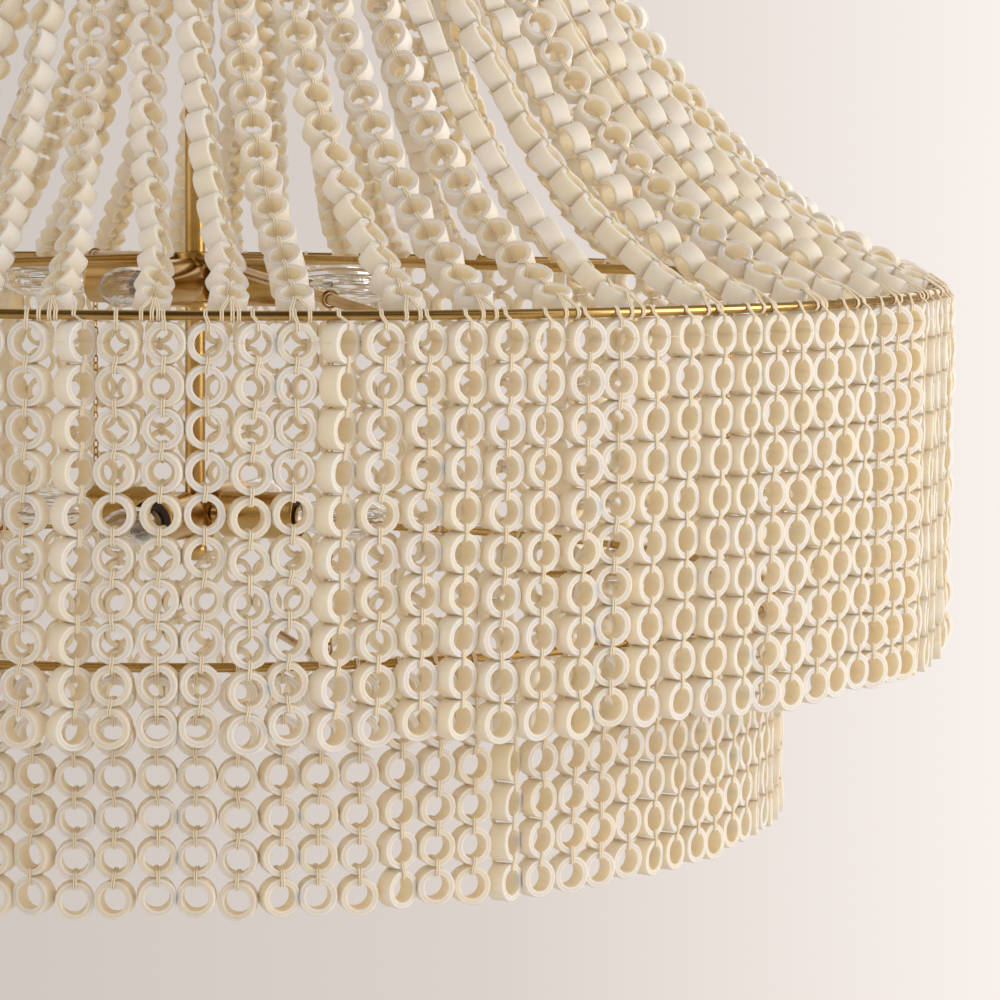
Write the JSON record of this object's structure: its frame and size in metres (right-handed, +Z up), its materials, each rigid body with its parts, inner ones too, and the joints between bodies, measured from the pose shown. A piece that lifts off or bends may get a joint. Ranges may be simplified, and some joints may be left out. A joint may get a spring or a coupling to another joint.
{
  "type": "two-tier beaded chandelier",
  "caption": "Round two-tier chandelier: brass hoops on a stem, lamp clusters inside, with a veil and two skirts of small pale rings on threads.",
  "frame": {"origin": "middle of the ceiling bracket's top face, which lies on the ceiling", "axes": "+Z up along the stem, -Y to the front of the picture, +X to its right"},
  "size_m": [0.925, 0.925, 0.9025],
  "materials": {
    "brass": "antique, satin",
    "steel": "zinc plated",
    "rings": "matt, whitewashed",
    "bulb_glass": "clear",
    "thread": "waxed cotton"
  },
  "bodies": {
    "ceiling": {"ceiling_bracket": "steel", "canopy": "brass", "canopy_loop": "brass"},
    "link": {"hang_link": "brass"},
    "frame": {"stem_loop": "brass", "stem": "brass", "crown_ring": "brass", "spoke_hub": "brass", "main_hoop": "brass", "finial": "brass", "main_spoke_1": "brass", "main_spoke_2": "brass", "main_spoke_3": "brass", "main_spoke_4": "brass", "upper_cluster_body": "brass", "upper_socket_1": "brass", "upper_socket_2": "brass", "upper_socket_3": "brass", "upper_socket_4": "brass", "lower_cluster_body": "brass", "lower_socket_1": "brass", "lower_socket_2": "brass", "lower_socket_3": "brass", "lower_socket_4": "brass", "veil_1": "rings", "veil_2": "rings", "veil_3": "rings", "veil_4": "rings"},
    "chain_1": {"chain_1": "brass"},
    "chain_2": {"chain_2": "brass"},
    "chain_3": {"chain_3": "brass"},
    "chain_4": {"chain_4": "brass"},
    "tier": {"lower_hoop": "brass"},
    "upper_skirt_1": {"upper_skirt_1": "rings"},
    "upper_skirt_2": {"upper_skirt_2": "rings"},
    "upper_skirt_3": {"upper_skirt_3": "rings"},
    "upper_skirt_4": {"upper_skirt_4": "rings"},
    "upper_skirt_5": {"upper_skirt_5": "rings"},
    "upper_skirt_6": {"upper_skirt_6": "rings"},
    "upper_skirt_7": {"upper_skirt_7": "rings"},
    "upper_skirt_8": {"upper_skirt_8": "rings"},
    "upper_skirt_9": {"upper_skirt_9": "rings"},
    "upper_skirt_10": {"upper_skirt_10": "rings"},
    "upper_skirt_11": {"upper_skirt_11": "rings"},
    "upper_skirt_12": {"upper_skirt_12": "rings"},
    "lower_skirt_1": {"lower_skirt_1": "rings"},
    "lower_skirt_2": {"lower_skirt_2": "rings"},
    "lower_skirt_3": {"lower_skirt_3": "rings"},
    "lower_skirt_4": {"lower_skirt_4": "rings"},
    "lower_skirt_5": {"lower_skirt_5": "rings"},
    "lower_skirt_6": {"lower_skirt_6": "rings"},
    "lower_skirt_7": {"lower_skirt_7": "rings"},
    "upper_bulb_1": {"upper_bulb_1": "bulb_glass"},
    "upper_bulb_2": {"upper_bulb_2": "bulb_glass"},
    "upper_bulb_3": {"upper_bulb_3": "bulb_glass"},
    "upper_bulb_4": {"upper_bulb_4": "bulb_glass"},
    "lower_bulb_1": {"lower_bulb_1": "bulb_glass"},
    "lower_bulb_2": {"lower_bulb_2": "bulb_glass"},
    "lower_bulb_3": {"lower_bulb_3": "bulb_glass"},
    "lower_bulb_4": {"lower_bulb_4": "bulb_glass"}
  },
  "joints": [
    {"name": "link_swing", "type": "hinge", "parent": "ceiling", "child": "link", "pos_m": [0, 0, -0.0613], "axis": [1, 0, 0], "range_deg": [-20, 20]},
    {"name": "stem_swing", "type": "hinge", "parent": "link", "child": "frame", "pos_m": [0, 0, -0.1], "axis": [0, 1, 0], "range_deg": [-20, 20]},
    {"name": "tier_sway", "type": "hinge", "parent": "frame", "child": "chain_1", "pos_m": [0.07038, -0.34285, -0.57996], "axis": [0.2011, -0.9796, 0], "range_deg": [-12, 12]},
    {"name": "chain_2_sway", "type": "hinge", "parent": "frame", "child": "chain_2", "pos_m": [0.34285, 0.07038, -0.57996], "axis": [0.2011, -0.9796, 0], "range_deg": [-12, 12]},
    {"name": "chain_3_sway", "type": "hinge", "parent": "frame", "child": "chain_3", "pos_m": [-0.07038, 0.34285, -0.57996], "axis": [0.2011, -0.9796, 0], "range_deg": [-12, 12]},
    {"name": "chain_4_sway", "type": "hinge", "parent": "frame", "child": "chain_4", "pos_m": [-0.34285, -0.07038, -0.57996], "axis": [0.2011, -0.9796, 0], "range_deg": [-12, 12]},
    {"name": "tier_level", "type": "hinge", "parent": "chain_1", "child": "tier", "pos_m": [0.07038, -0.34285, -0.77213], "axis": [0.2011, -0.9796, 0], "range_deg": [-12, 12]},
    {"name": "upper_skirt_1_swing", "type": "hinge", "parent": "frame", "child": "upper_skirt_1", "pos_m": [0.02819, -0.45613, -0.58313], "axis": [-0.9981, -0.0617, 0], "range_deg": [0, 12]},
    {"name": "upper_skirt_2_swing", "type": "hinge", "parent": "frame", "child": "upper_skirt_2", "pos_m": [0.25248, -0.38093, -0.58313], "axis": [-0.8335, -0.5525, 0], "range_deg": [0, 12]},
    {"name": "upper_skirt_3_swing", "type": "hinge", "parent": "frame", "child": "upper_skirt_3", "pos_m": [0.40911, -0.20365, -0.58313], "axis": [-0.4456, -0.8952, 0], "range_deg": [0, 12]},
    {"name": "upper_skirt_4_swing", "type": "hinge", "parent": "frame", "child": "upper_skirt_4", "pos_m": [0.45613, 0.02819, -0.58313], "axis": [0.0617, -0.9981, 0], "range_deg": [0, 12]},
    {"name": "upper_skirt_5_swing", "type": "hinge", "parent": "frame", "child": "upper_skirt_5", "pos_m": [0.38093, 0.25248, -0.58313], "axis": [0.5525, -0.8335, 0], "range_deg": [0, 12]},
    {"name": "upper_skirt_6_swing", "type": "hinge", "parent": "frame", "child": "upper_skirt_6", "pos_m": [0.20365, 0.40911, -0.58313], "axis": [0.8952, -0.4456, 0], "range_deg": [0, 12]},
    {"name": "upper_skirt_7_swing", "type": "hinge", "parent": "frame", "child": "upper_skirt_7", "pos_m": [-0.02819, 0.45613, -0.58313], "axis": [0.9981, 0.0617, 0], "range_deg": [0, 12]},
    {"name": "upper_skirt_8_swing", "type": "hinge", "parent": "frame", "child": "upper_skirt_8", "pos_m": [-0.25248, 0.38093, -0.58313], "axis": [0.8335, 0.5525, 0], "range_deg": [0, 12]},
    {"name": "upper_skirt_9_swing", "type": "hinge", "parent": "frame", "child": "upper_skirt_9", "pos_m": [-0.40911, 0.20365, -0.58313], "axis": [0.4456, 0.8952, 0], "range_deg": [0, 12]},
    {"name": "upper_skirt_10_swing", "type": "hinge", "parent": "frame", "child": "upper_skirt_10", "pos_m": [-0.45613, -0.02819, -0.58313], "axis": [-0.0617, 0.9981, 0], "range_deg": [0, 12]},
    {"name": "upper_skirt_11_swing", "type": "hinge", "parent": "frame", "child": "upper_skirt_11", "pos_m": [-0.38093, -0.25248, -0.58313], "axis": [-0.5525, 0.8335, 0], "range_deg": [0, 12]},
    {"name": "upper_skirt_12_swing", "type": "hinge", "parent": "frame", "child": "upper_skirt_12", "pos_m": [-0.20365, -0.40911, -0.58313], "axis": [-0.8952, 0.4456, 0], "range_deg": [0, 12]},
    {"name": "lower_skirt_1_swing", "type": "hinge", "parent": "tier", "child": "lower_skirt_1", "pos_m": [0.06585, -0.35189, -0.77213], "axis": [-0.9829, -0.184, 0], "range_deg": [0, 12]},
    {"name": "lower_skirt_2_swing", "type": "hinge", "parent": "tier", "child": "lower_skirt_2", "pos_m": [0.31618, -0.16791, -0.77213], "axis": [-0.469, -0.8832, 0], "range_deg": [0, 12]},
    {"name": "lower_skirt_3_swing", "type": "hinge", "parent": "tier", "child": "lower_skirt_3", "pos_m": [0.32841, 0.14251, -0.77213], "axis": [0.3981, -0.9174, 0], "range_deg": [0, 12]},
    {"name": "lower_skirt_4_swing", "type": "hinge", "parent": "tier", "child": "lower_skirt_4", "pos_m": [0.09335, 0.34562, -0.77213], "axis": [0.9654, -0.2607, 0], "range_deg": [0, 12]},
    {"name": "lower_skirt_5_swing", "type": "hinge", "parent": "tier", "child": "lower_skirt_5", "pos_m": [-0.21201, 0.28847, -0.77213], "axis": [0.8058, 0.5922, 0], "range_deg": [0, 12]},
    {"name": "lower_skirt_6_swing", "type": "hinge", "parent": "tier", "child": "lower_skirt_6", "pos_m": [-0.35772, 0.0141, -0.77213], "axis": [0.0394, 0.9992, 0], "range_deg": [0, 12]},
    {"name": "lower_skirt_7_swing", "type": "hinge", "parent": "tier", "child": "lower_skirt_7", "pos_m": [-0.23406, -0.27089, -0.77213], "axis": [-0.7567, 0.6538, 0], "range_deg": [0, 12]},
    {"name": "upper_bulb_1_turn", "type": "hinge", "parent": "frame", "child": "upper_bulb_1", "pos_m": [-0.02696, -0.06352, -0.58443], "axis": [-0.3907, -0.9205, 0], "continuous": true},
    {"name": "upper_bulb_2_turn", "type": "hinge", "parent": "frame", "child": "upper_bulb_2", "pos_m": [0.06352, -0.02696, -0.58443], "axis": [0.9205, -0.3907, 0], "continuous": true},
    {"name": "upper_bulb_3_turn", "type": "hinge", "parent": "frame", "child": "upper_bulb_3", "pos_m": [0.02696, 0.06352, -0.58443], "axis": [0.3907, 0.9205, 0], "continuous": true},
    {"name": "upper_bulb_4_turn", "type": "hinge", "parent": "frame", "child": "upper_bulb_4", "pos_m": [-0.06352, 0.02696, -0.58443], "axis": [-0.9205, 0.3907, 0], "continuous": true},
    {"name": "lower_bulb_1_turn", "type": "hinge", "parent": "frame", "child": "lower_bulb_1", "pos_m": [-0.02696, -0.06352, -0.72713], "axis": [-0.3907, -0.9205, 0], "continuous": true},
    {"name": "lower_bulb_2_turn", "type": "hinge", "parent": "frame", "child": "lower_bulb_2", "pos_m": [0.06352, -0.02696, -0.72713], "axis": [0.9205, -0.3907, 0], "continuous": true},
    {"name": "lower_bulb_3_turn", "type": "hinge", "parent": "frame", "child": "lower_bulb_3", "pos_m": [0.02696, 0.06352, -0.72713], "axis": [0.3907, 0.9205, 0], "continuous": true},
    {"name": "lower_bulb_4_turn", "type": "hinge", "parent": "frame", "child": "lower_bulb_4", "pos_m": [-0.06352, 0.02696, -0.72713], "axis": [-0.9205, 0.3907, 0], "continuous": true}
  ],
  "couplings": [
    {"joint": "chain_2_sway", "follows": "tier_sway", "ratio": 1},
    {"joint": "chain_3_sway", "follows": "tier_sway", "ratio": 1},
    {"joint": "chain_4_sway", "follows": "tier_sway", "ratio": 1},
    {"joint": "tier_level", "follows": "tier_sway", "ratio": -1}
  ]
}
